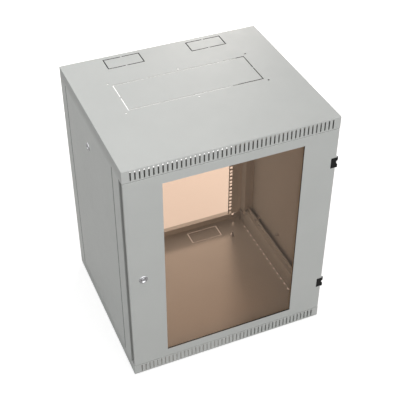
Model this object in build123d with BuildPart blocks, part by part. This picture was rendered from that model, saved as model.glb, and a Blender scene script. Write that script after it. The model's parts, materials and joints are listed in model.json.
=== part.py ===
from build123d import *
import os

os.makedirs("parts", exist_ok=True)

# Wall mount rack cabinet, in millimetres. X runs to the right, Y into the cabinet
# and Z up. The origin is the centre of the underside.

# Outer size
width = 600.0
depth = 520.0
height = 744.0
half_width = width / 2
half_depth = depth / 2

# Sheet metal
sheet = 1.5
thin_sheet = 1.2
outer_bend = 2.0

# Rack standard
rack_units = 15
unit_height = 44.45
unit_hole_offset = 15.875
rack_hole_spacing = 465.1
rack_hole = 9.5
rack_clear_width = 450.0
rack_base = (height - rack_units * unit_height) / 2
rack_top = rack_base + rack_units * unit_height

# Top and bottom trays
tray_height = 36.0
front_lip = 31.0
rear_lip = 16.0
vent_count = 47
vent_pitch = 12.04
vent_width = 4.0
vent_length = 28.0
vent_from_face = 18.8
knockout_cut = 3.0
fan_plate_cut = 3.0
tab_width = 5.0
knockout_size = (108.0, 52.0)
knockout_x = 125.0
knockout_y = 217.5
fan_plate_size = (391.0, 130.0)
fan_plate_y = 45.0
fan_tab_x = 100.0
fan_hole_spacing = (205.0, 150.0)
fan_hole_radius = 2.75
floor_slot = (4.0, 10.0)
floor_slot_x = 269.0
floor_slot_pitch = 25.0
floor_slot_count = 17

# Posts: the strips in front of and behind each side panel
post_web_x = 273.0
front_post_y = (-236.0, -185.0)
rear_post_y = (213.5, 260.0)
front_post_web_end = -225.0
rear_post_web_end = 245.0
front_post_edge_x = 268.0
rear_post_edge_x = 262.0

# Side members: folded sections that join the posts, low and high
member_web_x = post_web_x - sheet
member_height = 64.0
member_y = (-228.5, 242.5)
member_flange_y = (-183.0, 211.5)
member_lip_x = 284.5
member_lip_height = 76.0
member_bend = 1.0

# Catches under the upper members, behind which the side panels' cams turn
catch_length = 60.0
catch_foot_x = 276.0
catch_height = 16.0

# Rack rails
rail_sheet = 2.0
rail_flange_end_x = 259.0
rail_jog_x = member_web_x - rail_sheet
rail_jog_y = 5.0
rail_leg = 35.0
front_rail_y = -226.0
rear_rail_y = 245.0
rail_bolt_z = 50.0
front_bolt_y = (-210.0, -196.0)
rear_bolt_y = (220.5, 232.2)
rail_bend = 1.0

# Fasteners
bolt_radius = 3.0
bolt_hole_radius = 3.3
bolt_end = 6.0
bolt_head_height = 3.5
across_flats = 10.0
nut_height = 5.0
washer_radius = 6.5
washer_height = 1.5
stud_chamfer = 0.6
head_taper = 8.0
stud_collar = 1.0

# Wall fixing holes in the rear flanges of both trays
wall_hole_x = 250.0
wall_hole_from_face = 18.0
wall_hole_radius = 4.5

# Door
door_half_width = 298.5
door_x = 0.5
door_depth = 6.0
door_bottom = tray_height + 0.5
door_top = height - tray_height - 2.0
door_inner_y = -half_depth + thin_sheet
window_size = (395.0, 614.0)
window_x = 1.5
window_z = 371.5
seal_thickness = 5.0
seal_width = 9.0
seal_setback = 1.0
glass_thickness = 4.0
glass_overlap = 11.0
glass_back_y = door_inner_y + seal_thickness + glass_thickness
glazing_bend = 0.5
glazing_overlap = 7.0
channel_half_height = 312.0
channel_foot = 17.0
channel_web = 13.5
channel_lip = 6.0
clip_length = 30.0
clip_x = 120.0
clip_web = 6.0
clip_foot = 12.0

# Hinges
hinge_axis_x = 301.0
hinge_axis_y = -257.0
hinge_z = (145.8, 595.8)
hinge_half_height = 16.3
arm_start = 6.3
block_end = 5.8
knuckle_end = 0.3
knuckle_radius = 4.5
pin_radius = 1.5
pin_clearance = 0.06
pin_head_radius = 3.0
pin_head_height = 1.5
leaf_width = 22.0
leaf_thickness = 3.0
leaf_screw_x = 269.5
leaf_screw_radius = 1.5
leaf_screw_head = (3.6, 1.8)
base_screw_x = 281.5
base_screw_radius = 2.2
base_screw_end = 3.0
base_edge = 6.0
notch_x = 283.5
notch_half_height = 16.8
hinge_front_y = -260.5
hinge_screw_offset = 10.0
hinge_base_front = -245.5
base_inner_x = base_screw_x - base_edge
base_outer_x = half_width - 1.0
arm_edge = 2.0
arm_inner_edge = 6.0
block_clearance = 0.5
block_root = 3.0
pin_seat_clearance = 0.4
knuckle_edge = 1.0
shoulder_x = 298.5
shoulder_drop = 9.0

# Locks
door_lock_x = -258.5
door_lock_z = 372.0
panel_lock_y = 23.5
panel_lock_z = 628.0
lock_head_radius = 11.0
lock_head = 2.5
lock_body_radius = 9.0
lock_hole_radius = 9.1
lock_core_radius = 6.0
lock_core_clearance = 0.06
lock_nut_width = 24.0
lock_nut_height = 4.0
cam_thickness = 2.0
cam_half_width = 7.0
cam_shank = 7.0
cam_screw_head = 2.5
cam_screw_head_radius = 4.5
cam_screw_radius = 2.0
cam_screw_length = 3.0
key_slot = (7.0, 2.0)
key_slot_depth = 4.0
lock_chamfer = 0.8
core_recess = 0.3
core_end = 0.5
door_lock_body = 20.0
door_lock_tail = 29.7
door_cam_reach = 24.0
panel_lock_body = 15.5
panel_lock_tail = 20.0
panel_cam_reach = 47.0

# Side panels
panel_gap = 3.0
panel_seam = 0.5
panel_y = (front_post_y[1] + panel_gap, rear_post_y[0] - panel_gap)
panel_z = (tray_height + panel_seam, height - tray_height - panel_seam)
panel_return = 12.0
peg_y = 150.0
peg_z = 70.0
peg_radius = 3.0
peg_hole_radius = 3.4
peg_length = 17.5
peg_flange = (5.0, 1.5)
peg_chamfer = 0.8
panel_stud_y = 15.0
panel_stud_z = 107.0
panel_stud_length = 12.0

# Grounding stud on the floor
ground_x = 211.0
ground_y = 175.0
ground_height = 20.0


def save(piece, name):
    """Label a finished piece and write it under its node name."""
    piece.part.label = name
    export_step(piece.part, f"parts/{name}.step")


def folded(points, side, thickness=sheet, bend=outer_bend):
    """Outline of a folded sheet: the points run along one face."""
    with BuildLine() as outline:
        FilletPolyline(*points, radius=bend)
        offset(amount=thickness, side=side)
    return outline.edges()


def hand(sign):
    """Side of the path that the sheet is on, flipped with each mirroring."""
    return Side.RIGHT if sign > 0 else Side.LEFT


def make_screws(name, places, radius, length, head_radius, head_height):
    """Round-headed screws; each place's Z points from the shank out through the head."""
    with BuildPart() as screws:
        for place in places:
            with BuildSketch(place):
                Circle(head_radius)
            extrude(amount=head_height, taper=head_taper)
            with BuildSketch(place):
                Circle(radius)
            extrude(amount=-length)
    save(screws, name)


def make_bolts(name, places, length):
    """Hexagon bolts; each place's Z points from the shank out through the head."""
    with BuildPart() as bolts:
        for place in places:
            with BuildSketch(place):
                RegularPolygon(across_flats / 2, 6, major_radius=False)
            extrude(amount=bolt_head_height)
            with BuildSketch(place):
                Circle(bolt_radius)
            extrude(amount=-length)
    save(bolts, name)


def make_nuts(name, places, flats, thickness, hole_radius):
    """Hexagon nuts standing on each place's plane."""
    with BuildPart() as nuts:
        for place in places:
            with BuildSketch(place):
                RegularPolygon(flats / 2, 6, major_radius=False)
                Circle(hole_radius, mode=Mode.SUBTRACT)
            extrude(amount=thickness)
    save(nuts, name)


def cut_outline(size, cut):
    """Line that is cut round a knockout plate, drawn in the sketch that is open."""
    Rectangle(*size)
    Rectangle(size[0] - 2 * cut, size[1] - 2 * cut, mode=Mode.SUBTRACT)


def make_tray(name, rim, face, with_fan_plate):
    """Folded tray with its closed face at z = face and its flanges ending at z = rim."""
    up = 1 if face > rim else -1
    inside = -up * 2 * sheet
    with BuildPart() as tray:
        with BuildSketch(Plane.XY.offset(rim)):
            RectangleRounded(width, depth, outer_bend)
        extrude(amount=face - rim)
        rim_side, face_side = tray.faces().filter_by(Plane.XY).sort_by(Axis.Z)[::up]
        fillet(face_side.edges(), outer_bend)
        offset(amount=-sheet, openings=rim_side, kind=Kind.INTERSECTION)

        # Return lips along the front and rear flanges
        with BuildSketch(Plane.XY.offset(rim)):
            with Locations((0, -half_depth + front_lip / 2 + sheet / 2)):
                Rectangle(width - 2 * sheet, front_lip - sheet)
            with Locations((0, half_depth - rear_lip / 2 - sheet / 2)):
                Rectangle(width - 2 * sheet, rear_lip - sheet)
        extrude(amount=up * sheet)

        # Row of vent slots in the front flange
        with BuildSketch(Plane.XZ.offset(half_depth)):
            with Locations((0, face - up * vent_from_face)):
                with GridLocations(vent_pitch, 0, vent_count, 1):
                    SlotOverall(vent_length, vent_width, rotation=90)
        extrude(amount=-2 * sheet, mode=Mode.SUBTRACT)

        # Cable knockouts along the rear edge, each held by a tab on its long sides
        with BuildSketch(Plane.XY.offset(face)):
            with Locations((-knockout_x, knockout_y), (knockout_x, knockout_y)):
                cut_outline(knockout_size, knockout_cut)
                Rectangle(tab_width, knockout_size[1], mode=Mode.SUBTRACT)
        extrude(amount=inside, mode=Mode.SUBTRACT)

        if with_fan_plate:
            with BuildSketch(Plane.XY.offset(face)):
                with Locations((0, fan_plate_y)):
                    cut_outline(fan_plate_size, fan_plate_cut)
                    Rectangle(fan_plate_size[0], tab_width, mode=Mode.SUBTRACT)
                with Locations((-fan_tab_x, fan_plate_y), (fan_tab_x, fan_plate_y)):
                    Rectangle(tab_width, fan_plate_size[1], mode=Mode.SUBTRACT)
                with Locations((0, fan_plate_y)):
                    with GridLocations(fan_hole_spacing[0], fan_hole_spacing[1], 3, 2):
                        Circle(fan_hole_radius)
            extrude(amount=inside, mode=Mode.SUBTRACT)
        else:
            # Rows of small slots along both sides of the floor
            with BuildSketch(Plane.XY.offset(face)):
                with GridLocations(2 * floor_slot_x, floor_slot_pitch, 2, floor_slot_count):
                    Rectangle(*floor_slot)
            extrude(amount=inside, mode=Mode.SUBTRACT)

        # Wall fixing holes in the rear flange
        with BuildSketch(Plane.XZ.offset(-half_depth)):
            with Locations((0, face - up * wall_hole_from_face)):
                with GridLocations(2 * wall_hole_x, 0, 2, 1):
                    Circle(wall_hole_radius)
        extrude(amount=2 * sheet, mode=Mode.SUBTRACT)
    save(tray, name)


def bolt_centres(ys):
    """Centres of the joint bolts in the YZ plane, low and high."""
    return [(y, z) for y in ys for z in (rail_bolt_z, height - rail_bolt_z)]


def make_post(name, side, outer_y, inner_y, web_end, edge_x, bolt_ys):
    """Corner post: a folded section from its outer wall's edge round to its web."""
    path = [
        (side * edge_x, outer_y),
        (side * half_width, outer_y),
        (side * half_width, inner_y),
        (side * post_web_x, inner_y),
        (side * post_web_x, web_end),
    ]
    turn = side if inner_y < outer_y else -side
    with BuildPart() as post:
        with BuildSketch(Plane.XY.offset(tray_height)):
            make_face(folded(path, hand(turn)))
        extrude(amount=height - 2 * tray_height)
        with BuildSketch(Plane.YZ.offset(side * post_web_x)):
            with Locations(*bolt_centres(bolt_ys)):
                Circle(bolt_hole_radius)
        extrude(amount=side * 2 * sheet, mode=Mode.SUBTRACT)
        if outer_y < 0 and side > 0:
            # Screw holes for the hinges in the post's front wall
            with BuildSketch(Plane.XZ.offset(-outer_y)):
                for z in hinge_z:
                    with Locations((base_screw_x, z)):
                        with GridLocations(0, 2 * hinge_screw_offset, 1, 2):
                            Circle(base_screw_radius)
            extrude(amount=-2 * sheet, mode=Mode.SUBTRACT)
    save(post, name)


def make_member(name, side, low):
    """Side member: foot on the tray, web and shelf. The low one has a lip that the panel plugs into."""
    up = 1 if low else -1

    def level(z):
        return z if low else height - z

    path = [
        (side * (half_width - sheet - 1), level(sheet)),
        (side * member_web_x, level(sheet)),
        (side * member_web_x, level(member_height)),
        (side * member_lip_x, level(member_height)),
    ]
    if low:
        path.append((side * member_lip_x, level(member_lip_height)))
    with BuildPart() as member:
        with BuildSketch(Plane.XZ.offset(-member_y[1])):
            make_face(folded(path, hand(side * up), bend=member_bend))
        extrude(amount=member_y[1] - member_y[0])

        # Shelf and lip end where the posts begin
        with BuildSketch(Plane.XY.offset(level(member_height - sheet))):
            for end_y, flange_y in zip(member_y, member_flange_y):
                with Locations((side * (post_web_x + half_width) / 2, (end_y + flange_y) / 2)):
                    Rectangle(half_width - post_web_x, abs(flange_y - end_y))
        extrude(amount=up * member_lip_height, mode=Mode.SUBTRACT)

        with BuildSketch(Plane.YZ.offset(side * member_web_x)):
            with Locations(*[(y, level(rail_bolt_z)) for y in front_bolt_y + rear_bolt_y]):
                Circle(bolt_hole_radius)
        extrude(amount=side * 2 * sheet, mode=Mode.SUBTRACT)

        if low:
            # Holes that the side panel's pegs plug into
            with BuildSketch(Plane.YZ.offset(side * member_lip_x)):
                with Locations((-peg_y, peg_z), (peg_y, peg_z)):
                    Circle(peg_hole_radius)
            extrude(amount=side * 2 * sheet, mode=Mode.SUBTRACT)
    save(member, name)


def make_catch(name, side):
    """Angle under an upper member's shelf. The side panel's cam turns up behind its leg."""
    top = height - member_height
    path = [
        (side * catch_foot_x, top),
        (side * (member_lip_x + sheet), top),
        (side * (member_lip_x + sheet), top - catch_height),
    ]
    with BuildPart() as catch:
        with BuildSketch(Plane.XZ.offset(-panel_lock_y - catch_length / 2)):
            make_face(folded(path, hand(side)))
        extrude(amount=catch_length)
    save(catch, name)


def make_rail(name, side, front):
    """Rack rail: a flange with square holes, an angled jog and a leg along the side member."""
    inward = 1 if front else -1
    face_y = front_rail_y if front else rear_rail_y
    back_y = face_y + inward * rail_sheet
    path = [
        (side * rack_clear_width / 2, back_y),
        (side * rail_flange_end_x, back_y),
        (side * rail_jog_x, back_y + inward * rail_jog_y),
        (side * rail_jog_x, back_y + inward * rail_leg),
    ]
    with BuildPart() as rail:
        with BuildSketch(Plane.XY.offset(rack_base)):
            make_face(folded(path, hand(side * inward), thickness=rail_sheet, bend=rail_bend))
        extrude(amount=rack_top - rack_base)

        # Three square holes in each rack unit
        with BuildSketch(Plane.XZ.offset(-face_y)):
            with Locations((side * rack_hole_spacing / 2, (rack_base + rack_top) / 2)):
                with GridLocations(0, unit_height, 1, rack_units):
                    with GridLocations(0, unit_hole_offset, 1, 3):
                        Rectangle(rack_hole, rack_hole)
        extrude(amount=-inward * 2 * rail_sheet, mode=Mode.SUBTRACT)

        with BuildSketch(Plane.YZ.offset(side * rail_jog_x)):
            with Locations(*bolt_centres(front_bolt_y if front else rear_bolt_y)):
                Circle(bolt_hole_radius)
        extrude(amount=side * 2 * rail_sheet, mode=Mode.SUBTRACT)
    save(rail, name)


def make_rail_fasteners():
    """Bolts that clamp rail, side member and post together, with their nuts."""
    bolt_places = []
    nut_places = []
    for side in (-1, 1):
        for y, z in bolt_centres(front_bolt_y + rear_bolt_y):
            bolt_x = side * rail_jog_x
            nut_x = side * (post_web_x + sheet)
            bolt_places.append(Plane(origin=(bolt_x, y, z), x_dir=(0, 0, 1), z_dir=(-side, 0, 0)))
            nut_places.append(Plane(origin=(nut_x, y, z), x_dir=(0, 0, 1), z_dir=(side, 0, 0)))
    make_bolts("rail_bolts", bolt_places, rail_sheet + 2 * sheet + bolt_end)
    make_nuts("rail_nuts", nut_places, across_flats, nut_height, bolt_radius)


def make_ground_point():
    """Stud welded to the floor, with its washer and nut."""
    with BuildPart() as ground_stud:
        with BuildSketch(Plane.XY.offset(sheet)):
            with Locations((ground_x, ground_y)):
                Circle(bolt_radius)
        extrude(amount=ground_height)
        chamfer(ground_stud.faces().sort_by(Axis.Z)[-1].edges(), stud_chamfer)
    save(ground_stud, "ground_stud")

    with BuildPart() as ground_nuts:
        with BuildSketch(Plane.XY.offset(sheet)):
            with Locations((ground_x, ground_y)):
                Circle(washer_radius)
                Circle(bolt_radius, mode=Mode.SUBTRACT)
        extrude(amount=washer_height)
        with BuildSketch(Plane.XY.offset(sheet + washer_height)):
            with Locations((ground_x, ground_y)):
                RegularPolygon(across_flats / 2, 6, major_radius=False)
                Circle(bolt_radius, mode=Mode.SUBTRACT)
        extrude(amount=nut_height)
    save(ground_nuts, "ground_nuts")


def make_door_frame():
    """Door: a folded pan with a large window, hinge notches and a lock hole."""
    back_plane = Plane.XZ.offset(half_depth - door_depth)
    with BuildPart() as door_frame:
        with BuildSketch(back_plane):
            with Locations((door_x, (door_bottom + door_top) / 2)):
                RectangleRounded(2 * door_half_width, door_top - door_bottom, outer_bend)
        extrude(amount=door_depth)
        fillet(door_frame.faces().sort_by(Axis.Y)[0].edges(), outer_bend)
        offset(
            amount=-thin_sheet,
            openings=door_frame.faces().filter_by(Plane.XZ).sort_by(Axis.Y)[-1],
            kind=Kind.INTERSECTION,
        )
        with BuildSketch(Plane.XZ.offset(half_depth)):
            with Locations((window_x, window_z)):
                Rectangle(*window_size)
            with Locations((door_lock_x, door_lock_z)):
                Circle(lock_hole_radius)
        extrude(amount=-2 * thin_sheet, mode=Mode.SUBTRACT)
        # Notches in the right edge for the hinges
        with BuildSketch(Plane.XZ.offset(half_depth)):
            for z in hinge_z:
                with Locations((hinge_axis_x, z)):
                    Rectangle(2 * (hinge_axis_x - notch_x), 2 * notch_half_height)
        extrude(amount=-door_depth, mode=Mode.SUBTRACT)
    save(door_frame, "door_frame")


def make_glazing():
    """Tinted pane behind the window, its seal, two clamping channels and four clips."""
    with BuildPart() as glass_seal:
        with BuildSketch(Plane.XZ.offset(-door_inner_y)):
            with Locations((window_x, window_z)):
                Rectangle(window_size[0] + 2 * seal_width, window_size[1] + 2 * seal_width)
                Rectangle(
                    window_size[0] + 2 * seal_setback,
                    window_size[1] + 2 * seal_setback,
                    mode=Mode.SUBTRACT,
                )
        extrude(amount=-seal_thickness)
    save(glass_seal, "glass_seal")

    with BuildPart() as door_glass:
        with BuildSketch(Plane.XZ.offset(-door_inner_y - seal_thickness)):
            with Locations((window_x, window_z)):
                Rectangle(window_size[0] + 2 * glass_overlap, window_size[1] + 2 * glass_overlap)
        extrude(amount=-glass_thickness)
    save(door_glass, "door_glass")

    foot_y = door_inner_y + sheet
    cover_y = glass_back_y + sheet
    for side, name in ((-1, "glass_channel_left"), (1, "glass_channel_right")):
        edge_x = window_x + side * (window_size[0] / 2 + glazing_overlap)
        web_x = edge_x + side * channel_web
        path = [
            (web_x + side * channel_foot, foot_y),
            (web_x, foot_y),
            (web_x, cover_y),
            (edge_x, cover_y),
            (edge_x, cover_y + channel_lip),
        ]
        with BuildPart() as channel:
            with BuildSketch(Plane.XY.offset(window_z - channel_half_height)):
                make_face(folded(path, hand(-side), bend=glazing_bend))
            extrude(amount=2 * channel_half_height)
        save(channel, name)

    with BuildPart() as glass_clips:
        for up in (-1, 1):
            edge_z = window_z + up * (window_size[1] / 2 + glazing_overlap)
            web_z = edge_z + up * clip_web
            end_z = web_z + up * clip_foot
            path = [(foot_y, end_z), (foot_y, web_z), (cover_y, web_z), (cover_y, edge_z)]
            for x in (-clip_x, clip_x):
                with BuildSketch(Plane.YZ.offset(window_x + x - clip_length / 2)):
                    make_face(folded(path, hand(-up), bend=glazing_bend))
                extrude(amount=clip_length)
    save(glass_clips, "glass_clips")


def make_hinge(label, centre_z):
    """Pair of moulded hinge halves: the frame half on top, the door half below it."""
    bottom_z = centre_z - hinge_half_height
    arm_z = centre_z + arm_start
    arm_height = hinge_half_height - arm_start
    knuckle_top = centre_z + knuckle_end
    post_face = front_post_y[0]
    block_back = hinge_axis_y + knuckle_radius - knuckle_edge
    arm_x = notch_x + arm_edge
    arm_back_x = notch_x + arm_inner_edge
    block_x = notch_x + block_clearance
    block_inner_x = notch_x - block_root

    with BuildPart() as frame_half:
        # Base screwed to the post, behind the closed door
        with BuildSketch(Plane.XY.offset(bottom_z)):
            with BuildLine():
                Polyline(
                    (base_inner_x, post_face),
                    (base_outer_x, post_face),
                    (base_outer_x, hinge_base_front),
                    (base_inner_x, hinge_base_front),
                    close=True,
                )
            make_face()
        extrude(amount=2 * hinge_half_height)
        # Arm from the base through the door's notch to the knuckle
        with BuildSketch(Plane.XY.offset(arm_z)):
            with Locations((hinge_axis_x, hinge_axis_y)):
                Circle(knuckle_radius)
            with BuildLine():
                Polyline(
                    (arm_x, hinge_front_y),
                    (hinge_axis_x, hinge_front_y),
                    (hinge_axis_x, hinge_axis_y + knuckle_radius),
                    (base_outer_x, hinge_axis_y + knuckle_radius),
                    (base_outer_x, hinge_base_front),
                    (arm_back_x, hinge_base_front),
                    (arm_back_x, hinge_axis_y + knuckle_edge),
                    (arm_x, hinge_axis_y - knuckle_edge),
                    close=True,
                )
            make_face()
        extrude(amount=arm_height)
        with BuildSketch(Plane.XY.offset(arm_z)):
            with Locations((hinge_axis_x, hinge_axis_y)):
                Circle(pin_radius)
        extrude(amount=arm_height, mode=Mode.SUBTRACT)
        outer_edges = frame_half.edges().filter_by(Axis.Z).group_by(Axis.Y)[0]
        fillet(outer_edges, knuckle_edge)
        with BuildSketch(Plane.XZ.offset(-hinge_base_front)):
            with Locations((base_screw_x, centre_z)):
                with GridLocations(0, 2 * hinge_screw_offset, 1, 2):
                    Circle(base_screw_radius)
        extrude(amount=hinge_base_front - post_face, mode=Mode.SUBTRACT)
    save(frame_half, f"hinge_frame_{label}")

    with BuildPart() as door_half:
        # Knuckle, with a slanted shoulder on its outer side
        with BuildSketch(Plane.XY.offset(bottom_z)):
            with Locations((hinge_axis_x, hinge_axis_y)):
                Circle(knuckle_radius)
            with BuildLine():
                Polyline(
                    (notch_x, hinge_front_y),
                    (hinge_axis_x, hinge_front_y),
                    (hinge_axis_x + pin_radius, block_back),
                    (notch_x, block_back),
                    close=True,
                )
            make_face()
        extrude(amount=knuckle_top - bottom_z)
        with BuildSketch(Plane.XZ.offset(-block_back)):
            with BuildLine():
                Polyline(
                    (shoulder_x, knuckle_top),
                    (hinge_axis_x + knuckle_radius, knuckle_top),
                    (hinge_axis_x + knuckle_radius, knuckle_top - shoulder_drop),
                    close=True,
                )
            make_face()
        extrude(amount=2 * knuckle_radius, mode=Mode.SUBTRACT)
        # Block that fills the door's notch below the arm
        with BuildSketch(Plane.XY.offset(bottom_z)):
            with BuildLine():
                Polyline(
                    (block_x, hinge_front_y),
                    (shoulder_x, hinge_front_y),
                    (shoulder_x, block_back),
                    (block_inner_x, block_back),
                    (block_inner_x, door_inner_y),
                    (block_x, door_inner_y),
                    close=True,
                )
            make_face()
        extrude(amount=hinge_half_height + block_end)
        # Leaf behind the door sheet
        with BuildSketch(Plane.XZ.offset(-door_inner_y)):
            with Locations((notch_x - leaf_width / 2, centre_z)):
                Rectangle(leaf_width, 2 * hinge_half_height)
            with Locations((leaf_screw_x, centre_z)):
                with GridLocations(0, 2 * hinge_screw_offset, 1, 2):
                    Circle(leaf_screw_radius, mode=Mode.SUBTRACT)
        extrude(amount=-leaf_thickness)
        # Bore for the pin, with a wider seat for the pin's head
        with BuildSketch(Plane.XY.offset(bottom_z)):
            with Locations((hinge_axis_x, hinge_axis_y)):
                Circle(pin_radius + pin_clearance)
        extrude(amount=knuckle_top - bottom_z, mode=Mode.SUBTRACT)
        with BuildSketch(Plane.XY.offset(bottom_z)):
            with Locations((hinge_axis_x, hinge_axis_y)):
                Circle(pin_head_radius + pin_seat_clearance)
        extrude(amount=pin_head_height + pin_clearance, mode=Mode.SUBTRACT)
    save(door_half, f"hinge_door_{label}")


def make_hinge_hardware():
    """Headed hinge pins, and the screws of both hinge halves."""
    with BuildPart() as hinge_pins:
        for centre_z in hinge_z:
            with BuildSketch(Plane.XY.offset(centre_z - hinge_half_height)):
                with Locations((hinge_axis_x, hinge_axis_y)):
                    Circle(pin_radius)
            extrude(amount=2 * hinge_half_height)
            with BuildSketch(Plane.XY.offset(centre_z - hinge_half_height)):
                with Locations((hinge_axis_x, hinge_axis_y)):
                    Circle(pin_head_radius)
            extrude(amount=pin_head_height)
    save(hinge_pins, "hinge_pins")

    leaf_back = door_inner_y + leaf_thickness
    door_places = []
    with BuildPart() as frame_screws:
        for centre_z in hinge_z:
            for z in (centre_z - hinge_screw_offset, centre_z + hinge_screw_offset):
                with BuildSketch(Plane.XZ.offset(-hinge_base_front)):
                    with Locations((base_screw_x, z)):
                        Circle(base_screw_radius)
                extrude(amount=hinge_base_front - front_post_y[0] - sheet - base_screw_end)
                door_places.append(Plane((leaf_screw_x, leaf_back, z), x_dir=(1, 0, 0), z_dir=(0, 1, 0)))
    save(frame_screws, "hinge_frame_screws")
    make_screws("hinge_door_screws", door_places, leaf_screw_radius, leaf_thickness, *leaf_screw_head)


def make_lock(label, place, body_length, tail_end, cam_reach, cam_angle):
    """Cam lock. The place's Z points out of the cabinet and its origin is on the panel's face."""
    with BuildPart() as housing:
        with BuildSketch(place):
            Circle(lock_head_radius)
        extrude(amount=lock_head)
        chamfer(housing.faces().sort_by(Axis(place.origin, place.z_dir))[-1].edges(), lock_chamfer)
        with BuildSketch(place):
            Circle(lock_body_radius)
        extrude(amount=-body_length)
        with BuildSketch(place.offset(lock_head)):
            Circle(lock_core_radius + lock_core_clearance)
        extrude(amount=-body_length - lock_head, mode=Mode.SUBTRACT)
    save(housing, f"{label}_lock_housing")

    make_nuts(
        f"{label}_lock_nut",
        [place.offset(-thin_sheet - lock_nut_height)],
        lock_nut_width,
        lock_nut_height,
        lock_body_radius,
    )

    with BuildPart() as cylinder:
        core_face = lock_head - core_recess
        core_back = -body_length - core_end
        with BuildSketch(place.offset(core_face)):
            Circle(lock_core_radius)
        extrude(amount=core_back - core_face)
        with BuildSketch(place.offset(core_face)):
            Rectangle(*key_slot, rotation=90)
        extrude(amount=-key_slot_depth, mode=Mode.SUBTRACT)
        # Square tail that turns the cam
        with BuildSketch(place.offset(core_back)):
            Rectangle(cam_shank, cam_shank)
        extrude(amount=-tail_end - core_back)
        with BuildSketch(place.offset(-tail_end)):
            Circle(cam_screw_radius)
        extrude(amount=cam_screw_length, mode=Mode.SUBTRACT)
    save(cylinder, f"{label}_lock_cylinder")

    with BuildPart() as cam:
        with BuildSketch(place.offset(-tail_end)):
            with Locations(Rotation(0, 0, cam_angle)):
                Circle(cam_half_width + 1)
                with Locations((cam_reach / 2, 0)):
                    Rectangle(cam_reach, 2 * cam_half_width)
            Rectangle(cam_shank, cam_shank, mode=Mode.SUBTRACT)
        extrude(amount=cam_thickness)
    save(cam, f"{label}_lock_cam")

    make_screws(
        f"{label}_lock_screw",
        [Plane(origin=place.offset(-tail_end).origin, x_dir=place.x_dir, z_dir=-place.z_dir)],
        cam_screw_radius,
        cam_screw_length,
        cam_screw_head_radius,
        cam_screw_head,
    )


def make_side_panel(label, side):
    """Removable side panel: a folded pan with a lock hole."""
    with BuildPart() as panel:
        mid_y = (panel_y[0] + panel_y[1]) / 2
        mid_z = (panel_z[0] + panel_z[1]) / 2
        with BuildSketch(Plane.YZ.offset(side * (half_width - panel_return))):
            with Locations((mid_y, mid_z)):
                RectangleRounded(panel_y[1] - panel_y[0], panel_z[1] - panel_z[0], outer_bend)
        extrude(amount=side * panel_return)
        inner, outer = panel.faces().filter_by(Plane.YZ).sort_by(Axis.X)[::side]
        fillet(outer.edges(), outer_bend)
        offset(amount=-thin_sheet, openings=inner, kind=Kind.INTERSECTION)
        with BuildSketch(Plane.YZ.offset(side * half_width)):
            with Locations((panel_lock_y, panel_lock_z)):
                Circle(lock_hole_radius)
        extrude(amount=-side * 2 * thin_sheet, mode=Mode.SUBTRACT)
    save(panel, f"{label}_panel")

    inner_x = side * (half_width - thin_sheet)
    with BuildPart() as pegs:
        for y in (-peg_y, peg_y):
            place = Plane(origin=(inner_x, y, peg_z), x_dir=(0, 1, 0), z_dir=(-side, 0, 0))
            with BuildSketch(place):
                Circle(peg_flange[0])
            extrude(amount=peg_flange[1])
            with BuildSketch(place):
                Circle(peg_radius)
            extrude(amount=peg_length)
        tips = pegs.faces().filter_by(Plane.YZ).group_by(Axis.X)[::side][0]
        chamfer(tips.edges(), peg_chamfer)
    save(pegs, f"{label}_panel_pegs")

    place = Plane(origin=(inner_x, panel_stud_y, panel_stud_z), x_dir=(0, 1, 0), z_dir=(-side, 0, 0))
    with BuildPart() as stud:
        with BuildSketch(place):
            Circle(bolt_radius)
        extrude(amount=panel_stud_length)
        with BuildSketch(place.offset(stud_collar)):
            RegularPolygon(across_flats / 2, 6, major_radius=False)
        extrude(amount=nut_height)
    save(stud, f"{label}_panel_stud")


make_tray("top_panel", height - tray_height, height, True)
make_tray("bottom_panel", tray_height, 0.0, False)

for side, label in ((-1, "left"), (1, "right")):
    make_post(
        f"post_front_{label}", side, *front_post_y, front_post_web_end, front_post_edge_x, front_bolt_y
    )
    make_post(
        f"post_rear_{label}", side, *rear_post_y[::-1], rear_post_web_end, rear_post_edge_x, rear_bolt_y
    )
    make_member(f"member_lower_{label}", side, True)
    make_member(f"member_upper_{label}", side, False)
    make_catch(f"panel_catch_{label}", side)
    make_rail(f"rail_front_{label}", side, True)
    make_rail(f"rail_rear_{label}", side, False)
    make_side_panel(label, side)
    lock_origin = (side * half_width, panel_lock_y, panel_lock_z)
    lock_place = Plane(origin=lock_origin, x_dir=(0, 1, 0), z_dir=(side, 0, 0))
    make_lock(label, lock_place, panel_lock_body, panel_lock_tail, panel_cam_reach, 0)

make_rail_fasteners()
make_ground_point()
make_door_frame()
make_glazing()
make_hinge("lower", hinge_z[0])
make_hinge("upper", hinge_z[1])
make_hinge_hardware()
door_lock_place = Plane(origin=(door_lock_x, -half_depth, door_lock_z), x_dir=(1, 0, 0), z_dir=(0, -1, 0))
make_lock("door", door_lock_place, door_lock_body, door_lock_tail, door_cam_reach, -90)
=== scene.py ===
import json
import math
from collections import namedtuple

import bmesh
import bpy
from mathutils import Matrix, Vector


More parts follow.
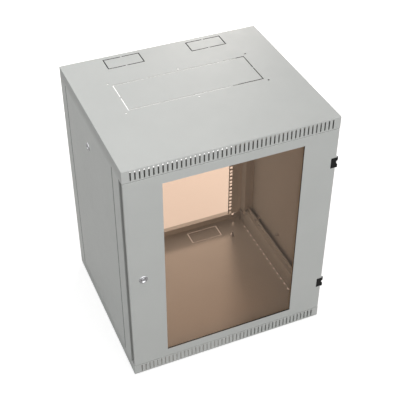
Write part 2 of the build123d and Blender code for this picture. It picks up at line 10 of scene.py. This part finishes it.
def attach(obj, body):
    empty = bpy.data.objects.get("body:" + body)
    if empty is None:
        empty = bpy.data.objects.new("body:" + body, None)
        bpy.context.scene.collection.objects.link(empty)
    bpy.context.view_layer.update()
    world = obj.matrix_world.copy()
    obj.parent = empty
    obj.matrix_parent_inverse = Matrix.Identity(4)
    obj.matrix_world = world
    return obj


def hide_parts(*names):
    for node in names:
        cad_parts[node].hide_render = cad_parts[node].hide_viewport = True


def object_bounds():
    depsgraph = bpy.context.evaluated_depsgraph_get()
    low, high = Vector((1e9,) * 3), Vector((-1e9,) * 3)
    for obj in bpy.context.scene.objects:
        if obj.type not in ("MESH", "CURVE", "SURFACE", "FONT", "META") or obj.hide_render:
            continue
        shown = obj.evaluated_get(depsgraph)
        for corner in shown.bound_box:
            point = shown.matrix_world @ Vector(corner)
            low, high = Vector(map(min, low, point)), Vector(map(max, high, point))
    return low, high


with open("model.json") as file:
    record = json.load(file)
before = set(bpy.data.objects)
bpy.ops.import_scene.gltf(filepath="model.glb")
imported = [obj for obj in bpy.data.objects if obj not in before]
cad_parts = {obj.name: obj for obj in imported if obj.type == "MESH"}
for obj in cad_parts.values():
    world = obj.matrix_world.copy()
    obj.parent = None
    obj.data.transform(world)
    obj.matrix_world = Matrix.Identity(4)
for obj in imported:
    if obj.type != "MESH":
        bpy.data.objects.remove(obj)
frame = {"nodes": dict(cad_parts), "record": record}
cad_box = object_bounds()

# A wall mount rack cabinet on a white studio floor. Metres, in the frame's axes:
# X to the right, Y into the cabinet, Z up.

# Camera, fitted to the photograph's outline
CAMERA_PLACE = Vector((-0.7715, -1.8391, 2.0294))
CAMERA_AZIMUTH = math.radians(23.164)
CAMERA_DROP = math.radians(39.891)
CAMERA_ROLL = math.radians(0.10)
SENSOR = 36.0
FOCAL_PIXELS = 881.3
IMAGE_PIXELS = 400

# Light. A level of 1 renders a colour about as it is written. The key is a long
# overhead strip above the left edge, so that the top fades a little to the right.
# The back lamp shines in through the open back onto the floor of the cabinet.
SKY_HORIZON = 0.82
SKY_ZENITH = 0.43
SKY_RANGE = (0.0, 0.7)
KEY_LEVEL = 0.88
KEY_PLACE = Vector((-0.33, 0.22, 1.34))
KEY_SIZE = (0.5, 3.0)
FRONT_LEVEL = 0.21
FRONT_PLACE = Vector((0.6, -4.2, 3.0))
FRONT_SIZE = (4.5, 1.6)
BACK_LEVEL = 0.44
BACK_PLACE = Vector((0.87, 1.9, 0.93))
BACK_SIZE = (0.4, 0.3)
BACK_COLOUR = (1.0, 0.93, 0.87)
WHITE = (1.0, 1.0, 1.0)

# What a mirror-like surface sees: a bright ceiling, dimmer towards the horizon
CEILING_LEVEL = 1.7
HORIZON_LEVEL = 0.10
CEILING_RANGE = (0.0, 0.2)

# Studio floor. Its lift makes it white where it is looked at.
FLOOR_SIZE = 14.0
FLOOR_BELOW_CABINET = 0.0005
FLOOR_COLOUR = 0.59
FLOOR_LIFT = 0.67
FLOOR_LIFT_MIRRORED = 0.05

# Colours, linear
PAINT = (0.600, 0.614, 0.596)
PAINT_DARK = (0.580, 0.594, 0.577)
GLASS_TINT = (0.870, 0.742, 0.648)
ZINC = (0.60, 0.61, 0.63)
ZINC_DARK = (0.43, 0.43, 0.42)
CHROME = (0.62, 0.62, 0.635)
CHROME_DARK = (0.52, 0.52, 0.54)
BLACK = (0.006, 0.0065, 0.006)
BLACK_WORN = (0.011, 0.0115, 0.011)
RUBBER = (0.010, 0.010, 0.010)
RUBBER_DUSTY = (0.028, 0.027, 0.025)

# Shine: that of the plastic, and how a pane's mirroring grows with the angle of sight
PLASTIC_SHINE = 0.25
PANE_MIRRORING = (0.04, 1.0)
PANE_MIRRORING_POWER = 5.0

# Spans of values
NONE_TO_ALL = (0.0, 1.0)
ALL_TO_NONE = (1.0, 0.0)
NOISE_SPAN = (0.3, 0.7)

# Spans of the share of a face's normal along an axis: square to the axis, along the
# axis, and turned to the cabinet's front
SQUARE_ON = (0.6, 0.9)
EDGE_ON = (0.3, 0.6)
FRONTWARD = (-0.6, -0.1)

# Shade of the left and right faces towards the trays: share of the colour, and heights
SIDE_TOP_SHADE = 0.20
SIDE_TOP_RANGE = (0.700, 0.724)
SIDE_BOTTOM_SHADE = 0.12
SIDE_BOTTOM_RANGE = (0.052, 0.024)

# Painted shade on the level faces behind the vent slots: its depth into the cabinet, and
# the heights of the top tray's lip and of the floor
SHADE_EDGE = 0.0004
VENT_SHADE_SHARE = 0.5
VENT_SHADE_FLOOR_PART = 0.3
VENT_SHADE_DEPTH = (-0.2590, -0.2285)
VENT_SHADE_LIP = (0.7080, 0.7110)
VENT_SHADE_FLOOR = (0.0005, 0.0030)

# Painted shade in the seams beside the side panels and the door: their places along
# the depth, and how far out it starts
SEAM_SHADE_SHARE = 0.6
DOOR_GAP_SHADE_SHARE = 0.35
SEAM_FRONT = (-0.1828, -0.1790)
SEAM_REAR = (0.2127, 0.2165)
DOOR_GAP = (-0.2368, -0.2325)
SEAM_OUTER = (0.2930, 0.2950)

# Painted shade on the cut edges of the top's cable knockouts and of the fan plate's right
# end, and on the inside of the rear flange below them: heights, and areas as spans of X and Y
CUT_SHARE = 0.97
CUT_HEIGHT = (0.7421, 0.7446)
CABLE_CUTS = ((-0.24, 0.24), (0.17, 0.25))
FAN_CUTS_NEAR = ((0.12, 0.24), (-0.06, 0.10))
FAN_CUTS_FAR = ((0.17, 0.24), (0.10, 0.15))
REAR_INSIDE_SHARE = 0.92
REAR_INSIDE_HEIGHT = (0.7086, 0.7424)
REAR_INSIDE = ((-0.24, 0.24), (0.2425, 0.2592))

# Locks, in millimetres, as in the CAD. A lock's place is on the face that it sits in,
# and its profiles are pairs of a radius and a height out from that face.
MM = 0.001
LOCK_BORE = 6.06
LOCK_DISH = ((6.06, 0.5), (6.4, 0.9), (7.9, 2.2), (8.3, 2.42), (8.7, 2.48))
DOMED_RIM = (
    (9.3, 2.42), (10.2, 2.15), (11.0, 1.8), (11.6, 1.4), (12.0, 0.95), (12.2, 0.5), (12.25, 0.0),
)
DRUM_RIM = (
    (9.6, 2.46), (10.4, 2.3), (11.1, 2.0), (11.7, 1.6), (12.05, 1.2), (12.2, 0.8), (12.25, 0.4), (12.25, 0.0),
)
LOCK_BODY = 8.98
THREAD_DEPTH = 0.55
THREAD_PITCH = 1.0
LOCK_CORE = 6.0
LOCK_CORE_EDGE = 0.4
LOCK_CORE_FACE = 1.0
LOCK_CORE_PAST_BODY = 0.5
LOCK_TAIL = 7.0
KEYWAY_WIDTH = 2.0
KEYWAY_LENGTH = 7.0
KEYWAY_DEPTH = 4.0
LOCK_TURNS = 96
SHARP_EDGE = math.radians(30)

Lock = namedtuple("Lock", "case_body core_body place out rim body_length tail_end")
LOCKS = {
    "door": Lock("door", "door_latch", (-258.5, -260.0, 372.0), (0, -1, 0), DOMED_RIM, 20.0, 29.7),
    "left": Lock("left_panel_body", "left_latch", (-300.0, 23.5, 628.0), (-1, 0, 0), DRUM_RIM, 15.5, 20.0),
    "right": Lock("right_panel_body", "right_latch", (300.0, 23.5, 628.0), (1, 0, 0), DRUM_RIM, 15.5, 20.0),
}

# Sockets of Blender's Mix node when it mixes colours
FIRST_COLOUR = 6
SECOND_COLOUR = 7
MIXED_COLOUR = 2


class Nodes:
    """A material's node tree, with short ways to add and link nodes."""

    def __init__(self, name):
        self.material = bpy.data.materials.new(name)
        self.material.use_nodes = True
        self.tree = self.material.node_tree
        self.tree.nodes.clear()
        self.output = self.tree.nodes.new("ShaderNodeOutputMaterial")
        coordinates = self.tree.nodes.new("ShaderNodeTexCoord")
        self.place = coordinates.outputs["Object"]
        self.normal = coordinates.outputs["Normal"]

    def add(self, kind, **values):
        """New node with those input values or settings."""
        node = self.tree.nodes.new(kind)
        for key, value in values.items():
            if key in node.inputs:
                node.inputs[key].default_value = value
            else:
                setattr(node, key, value)
        return node

    def link(self, start, end):
        self.tree.links.new(start, end)

    def split(self, vector):
        """The vector's X, Y and Z."""
        node = self.add("ShaderNodeSeparateXYZ")
        self.link(vector, node.inputs["Vector"])
        return node.outputs

    def noise(self, scale, detail, stretch=None):
        """Noise of that many waves to the metre, stretched along an axis if asked."""
        node = self.add("ShaderNodeTexNoise", Scale=scale, Detail=detail)
        place = self.place
        if stretch:
            mapping = self.add("ShaderNodeMapping", Scale=stretch)
            self.link(place, mapping.inputs["Vector"])
            place = mapping.outputs["Vector"]
        self.link(place, node.inputs["Vector"])
        return node.outputs["Fac"]

    def spread(self, value, result, span=NOISE_SPAN):
        """The value's span mapped to the result's, and held at its ends beyond them."""
        node = self.add("ShaderNodeMapRange")
        for key, number in zip(("From Min", "From Max", "To Min", "To Max"), (*span, *result)):
            node.inputs[key].default_value = number
        self.link(value, node.inputs["Value"])
        return node.outputs["Result"]

    def math(self, operation, first, second):
        """Result of the operation on two values, of which the second may be a number."""
        node = self.add("ShaderNodeMath", operation=operation)
        self.link(first, node.inputs[0])
        if isinstance(second, float):
            node.inputs[1].default_value = second
        else:
            self.link(second, node.inputs[1])
        return node.outputs["Value"]

    def size_of(self, value):
        """The value without its sign."""
        return self.math("ABSOLUTE", value, 0.0)

    def total(self, first, *others):
        for other in others:
            first = self.math("ADD", first, other)
        return first

    def product(self, first, *others):
        for other in others:
            first = self.math("MULTIPLY", first, other)
        return first

    def band(self, value, low, high):
        """One between the two values and none outside, with a soft edge."""
        rising = self.spread(value, NONE_TO_ALL, (low, low + SHADE_EDGE))
        falling = self.spread(value, ALL_TO_NONE, (high - SHADE_EDGE, high))
        return self.product(rising, falling)

    def blend(self, factor, first, second):
        """Two colours mixed by a factor."""
        node = self.add("ShaderNodeMix", data_type="RGBA")
        self.link(factor, node.inputs["Factor"])
        node.inputs[FIRST_COLOUR].default_value = (*first, 1.0)
        node.inputs[SECOND_COLOUR].default_value = (*second, 1.0)
        return node.outputs[MIXED_COLOUR]

    def shaded(self, colour, shade):
        """The colour darkened by a share."""
        node = self.add("ShaderNodeMix", data_type="RGBA")
        self.link(shade, node.inputs["Factor"])
        self.link(colour, node.inputs[FIRST_COLOUR])
        node.inputs[SECOND_COLOUR].default_value = (0.0, 0.0, 0.0, 1.0)
        return node.outputs[MIXED_COLOUR]

    def bump(self, height, strength, distance, normal=None):
        """Normal with that height's relief, laid over another relief if asked."""
        node = self.add("ShaderNodeBump", Strength=strength, Distance=distance)
        self.link(height, node.inputs["Height"])
        if normal:
            self.link(normal, node.inputs["Normal"])
        return node.outputs["Normal"]

    def mirroring(self):
        """Share of the light that a pane mirrors: little straight on, all at a grazing angle."""
        facing = self.add("ShaderNodeLayerWeight", Blend=0.5).outputs["Facing"]
        curve = self.math("POWER", facing, PANE_MIRRORING_POWER)
        return self.spread(curve, PANE_MIRRORING, NONE_TO_ALL)

    def principled(self, colour, roughness, normal, **values):
        """The finished material, with one surface shader."""
        shader = self.add("ShaderNodeBsdfPrincipled", **values)
        self.link(colour, shader.inputs["Base Color"])
        self.link(roughness, shader.inputs["Roughness"])
        self.link(normal, shader.inputs["Normal"])
        self.link(shader.outputs["BSDF"], self.output.inputs["Surface"])
        return self.material


def side_shade(n):
    """Share of shade on the cabinet's left and right faces, which grows towards both trays."""
    height = n.split(n.place)["Z"]
    top = n.spread(height, (0.0, SIDE_TOP_SHADE), SIDE_TOP_RANGE)
    bottom = n.spread(height, (0.0, SIDE_BOTTOM_SHADE), SIDE_BOTTOM_RANGE)
    sideways = n.spread(n.size_of(n.split(n.normal)["X"]), NONE_TO_ALL, SQUARE_ON)
    return n.product(n.total(top, bottom), sideways)


def vent_painted_shade(n):
    """Share of painted shade on the level faces just behind both rows of vent slots."""
    place = n.split(n.place)
    on_lip = n.band(place["Z"], *VENT_SHADE_LIP)
    on_floor = n.product(n.band(place["Z"], *VENT_SHADE_FLOOR), VENT_SHADE_FLOOR_PART)
    behind = n.band(place["Y"], *VENT_SHADE_DEPTH)
    level = n.spread(n.split(n.normal)["Z"], (0.0, VENT_SHADE_SHARE), SQUARE_ON)
    return n.product(behind, n.total(on_lip, on_floor), level)


def seam_painted_shade(n):
    """Share of painted shade in the outer edge of the seams of both sides and of the door."""
    place = n.split(n.place)
    seams = n.product(n.total(n.band(place["Y"], *SEAM_FRONT), n.band(place["Y"], *SEAM_REAR)), SEAM_SHADE_SHARE)
    door_gap = n.product(n.band(place["Y"], *DOOR_GAP), DOOR_GAP_SHADE_SHARE)
    outer = n.spread(n.size_of(place["X"]), NONE_TO_ALL, SEAM_OUTER)
    frontward = n.spread(n.split(n.normal)["Y"], ALL_TO_NONE, FRONTWARD)
    return n.product(n.total(seams, door_gap), outer, frontward)


def knockout_painted_shade(n):
    """Share of painted shade in the cuts of the top's knockouts and on the rear flange's inside."""
    place = n.split(n.place)
    normal = n.split(n.normal)

    def area(across, depth):
        return n.product(n.band(place["X"], *across), n.band(place["Y"], *depth))

    cuts = n.total(area(*FAN_CUTS_NEAR), area(*FAN_CUTS_FAR), area(*CABLE_CUTS))
    upright = n.spread(n.size_of(normal["Z"]), (CUT_SHARE, 0.0), EDGE_ON)
    cuts = n.product(cuts, n.band(place["Z"], *CUT_HEIGHT), upright)

    inward = n.math("MAXIMUM", normal["Z"], n.product(normal["Y"], -1.0))
    inward = n.spread(inward, (0.0, REAR_INSIDE_SHARE), SQUARE_ON)
    inside = n.product(area(*REAR_INSIDE), n.band(place["Z"], *REAR_INSIDE_HEIGHT), inward)
    return n.total(cuts, inside)


def powder_coat():
    """Light grey powder coat: satin, with a fine orange-peel skin and faint cloudiness."""
    n = Nodes("grey_paint")
    cloud = n.noise(scale=9.0, detail=3.0)
    colour = n.blend(n.spread(cloud, NONE_TO_ALL), PAINT, PAINT_DARK)
    # The colour is darkened by painted shade: on the sides towards the trays, behind the vent slots, in the
    # seams and in the knockouts
    for shade in (side_shade(n), vent_painted_shade(n), seam_painted_shade(n), knockout_painted_shade(n)):
        colour = n.shaded(colour, shade)
    roughness = n.spread(n.noise(scale=60.0, detail=4.0), (0.44, 0.56))
    peel = n.bump(n.noise(scale=520.0, detail=3.0), strength=0.16, distance=0.0004)
    normal = n.bump(n.noise(scale=1400.0, detail=2.0), strength=0.08, distance=0.0002, normal=peel)
    return n.principled(colour, roughness, normal)


def bare_zinc():
    """Bright zinc plate with soft blotches and fine drawing lines."""
    n = Nodes("zinc_steel")
    blotch = n.noise(scale=140.0, detail=4.0)
    colour = n.blend(n.spread(blotch, NONE_TO_ALL), ZINC, ZINC_DARK)
    roughness = n.spread(n.noise(scale=420.0, detail=4.0), (0.26, 0.44))
    lines = n.noise(scale=900.0, detail=3.0, stretch=(1.0, 1.0, 0.08))
    normal = n.bump(lines, strength=0.2, distance=0.0001)
    return n.principled(colour, roughness, normal, Metallic=1.0)


def chrome():
    """Polished chrome with light handling marks."""
    n = Nodes("lock_chrome")
    smear = n.noise(scale=260.0, detail=4.0)
    colour = n.blend(n.spread(smear, NONE_TO_ALL), CHROME, CHROME_DARK)
    roughness = n.spread(smear, (0.06, 0.14))
    marks = n.noise(scale=2600.0, detail=2.0, stretch=(0.2, 1.0, 1.0))
    normal = n.bump(marks, strength=0.08, distance=0.00005)
    return n.principled(colour, roughness, normal, Metallic=1.0)


def black_plastic():
    """Moulded black polyamide with a spark-eroded texture."""
    n = Nodes("black_plastic")
    wear = n.noise(scale=180.0, detail=3.0)
    colour = n.blend(n.spread(wear, NONE_TO_ALL), BLACK, BLACK_WORN)
    roughness = n.spread(n.noise(scale=500.0, detail=3.0), (0.42, 0.60))
    grain = n.noise(scale=2400.0, detail=3.0)
    normal = n.bump(grain, strength=0.3, distance=0.00015)
    shine = {"Specular IOR Level": PLASTIC_SHINE}
    return n.principled(colour, roughness, normal, **shine)


def seal_rubber():
    """Matt black foam strip."""
    n = Nodes("seal_rubber")
    dust = n.noise(scale=90.0, detail=3.0)
    colour = n.blend(n.spread(dust, NONE_TO_ALL), RUBBER, RUBBER_DUSTY)
    cells = n.noise(scale=3200.0, detail=4.0)
    roughness = n.spread(cells, (0.75, 0.95))
    normal = n.bump(cells, strength=0.5, distance=0.0003)
    return n.principled(colour, roughness, normal)


def tinted_glass():
    """Bronze pane: see-through with its tint, and mirror-like by the angle of sight."""
    n = Nodes("tinted_glass")
    tint = n.add("ShaderNodeBsdfTransparent", Color=(*GLASS_TINT, 1.0))
    gloss = n.add("ShaderNodeBsdfGlossy")
    smear = n.noise(scale=14.0, detail=4.0)
    n.link(n.spread(smear, (0.01, 0.05)), gloss.inputs["Roughness"])
    waves = n.noise(scale=5.0, detail=1.0)
    n.link(n.bump(waves, strength=0.05, distance=0.001), gloss.inputs["Normal"])
    mix = n.add("ShaderNodeMixShader")
    n.link(n.mirroring(), mix.inputs["Fac"])
    n.link(tint.outputs["BSDF"], mix.inputs[1])
    n.link(gloss.outputs["BSDF"], mix.inputs[2])
    n.link(mix.outputs["Shader"], n.output.inputs["Surface"])
    return n.material


MATERIALS = {
    "grey_paint": powder_coat(),
    "tinted_glass": tinted_glass(),
    "lock_chrome": chrome(),
    "zinc_steel": bare_zinc(),
    "black_plastic": black_plastic(),
    "seal_rubber": seal_rubber(),
}


def set_material(piece, slot):
    piece.data.materials.clear()
    piece.data.materials.append(MATERIALS[slot])


def dress_nodes():
    """Each CAD node takes the finish of its slot in the record."""
    for subpart in frame["record"]["subparts"]:
        set_material(frame["nodes"][subpart["node"]], subpart["material_slot"])


def piece_from(mesh, name, body, slot, node):
    """Finished piece from a mesh in millimetres that replaces a CAD node."""
    bmesh.ops.recalc_face_normals(mesh, faces=mesh.faces)
    for face in mesh.faces:
        face.smooth = True
    for edge in mesh.edges:
        edge.smooth = len(edge.link_faces) == 2 and edge.calc_face_angle() < SHARP_EDGE
    bmesh.ops.scale(mesh, vec=(MM, MM, MM), verts=mesh.verts)
    data = bpy.data.meshes.new(name)
    mesh.to_mesh(data)
    mesh.free()
    piece = bpy.data.objects.new(name, data)
    bpy.context.scene.collection.objects.link(piece)
    set_material(piece, slot)
    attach(piece, body)
    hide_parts(node)


def lock_point(lock):
    """Function that turns a place across, up and out from a lock's face into a point."""
    out = Vector(lock.out)
    up = Vector((0, 0, 1))
    across = up.cross(out)

    def point(x, z, height):
        return Vector(lock.place) + across * x + up * z + out * height

    return point


def ring_of(mesh, point, radius, height):
    """Ring of vertices about the lock's axis."""
    angles = (2 * math.pi * k / LOCK_TURNS for k in range(LOCK_TURNS))
    return [mesh.verts.new(point(radius * math.cos(a), radius * math.sin(a), height)) for a in angles]


def square_of(mesh, point, across, up, height):
    """Four corners about the lock's axis."""
    signs = ((-1, -1), (1, -1), (1, 1), (-1, 1))
    return [mesh.verts.new(point(x * across / 2, z * up / 2, height)) for x, z in signs]


def join_rings(mesh, first, second):
    """Band of faces between two rings of as many vertices."""
    for k in range(len(first)):
        after = (k + 1) % len(first)
        mesh.faces.new((first[k], first[after], second[after], second[k]))


def fill_between(mesh, outside, hole):
    """Flat face inside one ring and round another."""
    edges = []
    for ring in (outside, hole):
        for pair in zip(ring, ring[1:] + ring[:1]):
            edges.append(mesh.edges.get(pair) or mesh.edges.new(pair))
    bmesh.ops.triangle_fill(mesh, edges=edges, use_beauty=True)


def make_lock_housing(label, lock):
    """Lock housing: a rounded rim with a dished middle, and a threaded body behind the sheet."""
    profile = [(LOCK_BORE, -lock.body_length), *LOCK_DISH, *lock.rim, (LOCK_BODY, 0.0)]
    height = -2 * THREAD_PITCH
    while height - THREAD_PITCH > -lock.body_length:
        profile.append((LOCK_BODY, height))
        profile.append((LOCK_BODY - THREAD_DEPTH, height - THREAD_PITCH / 2))
        height -= THREAD_PITCH
    profile += [(LOCK_BODY, height), (LOCK_BODY - THREAD_DEPTH, -lock.body_length)]

    mesh = bmesh.new()
    point = lock_point(lock)
    rings = [ring_of(mesh, point, radius, height) for radius, height in profile]
    for first, second in zip(rings, rings[1:] + rings[:1]):
        join_rings(mesh, first, second)
    piece_from(mesh, f"{label}_lock_rim", lock.case_body, "lock_chrome", f"{label}_lock_housing")


def make_lock_core(label, lock):
    """Lock core: a round plug with a keyway, and the square tail that turns the cam."""
    mesh = bmesh.new()
    point = lock_point(lock)
    back = -lock.body_length - LOCK_CORE_PAST_BODY
    face_ring = ring_of(mesh, point, LOCK_CORE - LOCK_CORE_EDGE, LOCK_CORE_FACE)
    edge_ring = ring_of(mesh, point, LOCK_CORE, LOCK_CORE_FACE - LOCK_CORE_EDGE)
    back_ring = ring_of(mesh, point, LOCK_CORE, back)
    join_rings(mesh, face_ring, edge_ring)
    join_rings(mesh, edge_ring, back_ring)

    mouth = square_of(mesh, point, KEYWAY_WIDTH, KEYWAY_LENGTH, LOCK_CORE_FACE)
    keyway_end = square_of(mesh, point, KEYWAY_WIDTH, KEYWAY_LENGTH, LOCK_CORE_FACE - KEYWAY_DEPTH)
    fill_between(mesh, face_ring, mouth)
    join_rings(mesh, mouth, keyway_end)
    mesh.faces.new(keyway_end)

    tail_root = square_of(mesh, point, LOCK_TAIL, LOCK_TAIL, back)
    tail_tip = square_of(mesh, point, LOCK_TAIL, LOCK_TAIL, -lock.tail_end)
    fill_between(mesh, back_ring, tail_root)
    join_rings(mesh, tail_root, tail_tip)
    mesh.faces.new(tail_tip)
    piece_from(mesh, f"{label}_lock_core", lock.core_body, "lock_chrome", f"{label}_lock_cylinder")


def make_camera():
    """The photograph's view: turned to the right, looking down, with a trace of roll."""
    forward = Vector((
        math.sin(CAMERA_AZIMUTH) * math.cos(CAMERA_DROP),
        math.cos(CAMERA_AZIMUTH) * math.cos(CAMERA_DROP),
        -math.sin(CAMERA_DROP),
    ))
    right = forward.cross(Vector((0, 0, 1))).normalized()
    up = right.cross(forward)
    turn = Matrix((right, up, -forward)).transposed() @ Matrix.Rotation(CAMERA_ROLL, 3, "Z")
    data = bpy.data.cameras.new("camera")
    data.sensor_width = SENSOR
    data.lens = SENSOR * FOCAL_PIXELS / IMAGE_PIXELS
    camera = bpy.data.objects.new("camera", data)
    camera.matrix_world = Matrix.Translation(CAMERA_PLACE) @ turn.to_4x4()
    bpy.context.scene.collection.objects.link(camera)
    bpy.context.scene.camera = camera


def make_lamp(name, place, target, size, level, colour=WHITE):
    """Rectangular soft lamp whose energy lights the target to that level from any distance."""
    data = bpy.data.lights.new(name, "AREA")
    data.color = colour
    data.shape = "RECTANGLE"
    data.size, data.size_y = size
    reach = target - place
    data.energy = level * math.pi**2 * reach.length_squared
    lamp = bpy.data.objects.new(name, data)
    lamp.location = place
    lamp.rotation_euler = reach.to_track_quat("-Z", "Y").to_euler()
    lamp.visible_camera = False
    bpy.context.scene.collection.objects.link(lamp)


def make_lamps():
    """The overhead key, a broad front lamp and the low back lamp."""
    centre = (cad_box[0] + cad_box[1]) / 2
    below_key = Vector((KEY_PLACE.x, KEY_PLACE.y, cad_box[1].z))
    floor_centre = Vector((centre.x, centre.y, cad_box[0].z))
    make_lamp("key", KEY_PLACE, below_key, KEY_SIZE, KEY_LEVEL)
    make_lamp("front", FRONT_PLACE, centre, FRONT_SIZE, FRONT_LEVEL)
    make_lamp("back", BACK_PLACE, floor_centre, BACK_SIZE, BACK_LEVEL, BACK_COLOUR)


def by_ray(tree, diffuse, looked_at, mirrored):
    """A level that depends on the ray: diffuse light, seen straight, or seen in a mirror."""
    path = tree.nodes.new("ShaderNodeLightPath")
    level = diffuse
    for ray, value in (
        ("Is Glossy Ray", mirrored),
        ("Is Transmission Ray", looked_at),
        ("Is Camera Ray", looked_at),
    ):
        mix = tree.nodes.new("ShaderNodeMix")
        tree.links.new(path.outputs[ray], mix.inputs["Factor"])
        for socket, source in ((mix.inputs["A"], level), (mix.inputs["B"], value)):
            if isinstance(source, float):
                socket.default_value = source
            else:
                tree.links.new(source, socket)
        level = mix.outputs["Result"]
    return level


def make_world():
    """Even studio light: white where it is looked at, and a bright ceiling in reflections."""
    world = bpy.data.worlds.new("studio")
    bpy.context.scene.world = world
    world.use_nodes = True
    tree = world.node_tree
    tree.nodes.clear()
    direction = tree.nodes.new("ShaderNodeTexCoord")
    split = tree.nodes.new("ShaderNodeSeparateXYZ")
    tree.links.new(direction.outputs["Generated"], split.inputs["Vector"])

    def by_height(low, high, span):
        level = tree.nodes.new("ShaderNodeMapRange")
        level.interpolation_type = "SMOOTHSTEP"
        for name, value in zip(("From Min", "From Max", "To Min", "To Max"), (*span, low, high)):
            level.inputs[name].default_value = value
        tree.links.new(split.outputs["Z"], level.inputs["Value"])
        return level.outputs["Result"]

    sky = by_height(SKY_HORIZON, SKY_ZENITH, SKY_RANGE)
    ceiling = by_height(HORIZON_LEVEL, CEILING_LEVEL, CEILING_RANGE)
    background = tree.nodes.new("ShaderNodeBackground")
    background.inputs["Color"].default_value = (*WHITE, 1.0)
    output = tree.nodes.new("ShaderNodeOutputWorld")
    tree.links.new(by_ray(tree, sky, 1.0, ceiling), background.inputs["Strength"])
    tree.links.new(background.outputs["Background"], output.inputs["Surface"])


def make_floor():
    """Pale floor: white where it is looked at, and still darkened by the object's shadow."""
    material = bpy.data.materials.new("studio_floor")
    material.use_nodes = True
    tree = material.node_tree
    tree.nodes.clear()
    paper = tree.nodes.new("ShaderNodeBsdfDiffuse")
    paper.inputs["Color"].default_value = (FLOOR_COLOUR, FLOOR_COLOUR, FLOOR_COLOUR, 1.0)
    glow = tree.nodes.new("ShaderNodeEmission")
    add = tree.nodes.new("ShaderNodeAddShader")
    output = tree.nodes.new("ShaderNodeOutputMaterial")
    tree.links.new(by_ray(tree, 0.0, FLOOR_LIFT, FLOOR_LIFT_MIRRORED), glow.inputs["Strength"])
    tree.links.new(paper.outputs["BSDF"], add.inputs[0])
    tree.links.new(glow.outputs["Emission"], add.inputs[1])
    tree.links.new(add.outputs["Shader"], output.inputs["Surface"])

    bpy.ops.mesh.primitive_plane_add(size=FLOOR_SIZE)
    floor = bpy.context.object
    floor.name = "floor"
    floor.location.z = -FLOOR_BELOW_CABINET
    floor.data.materials.append(material)


make_camera()
make_world()
make_lamps()
make_floor()
dress_nodes()
for label, lock in LOCKS.items():
    make_lock_housing(label, lock)
    make_lock_core(label, lock)
bpy.context.scene.view_settings.view_transform = "Standard"
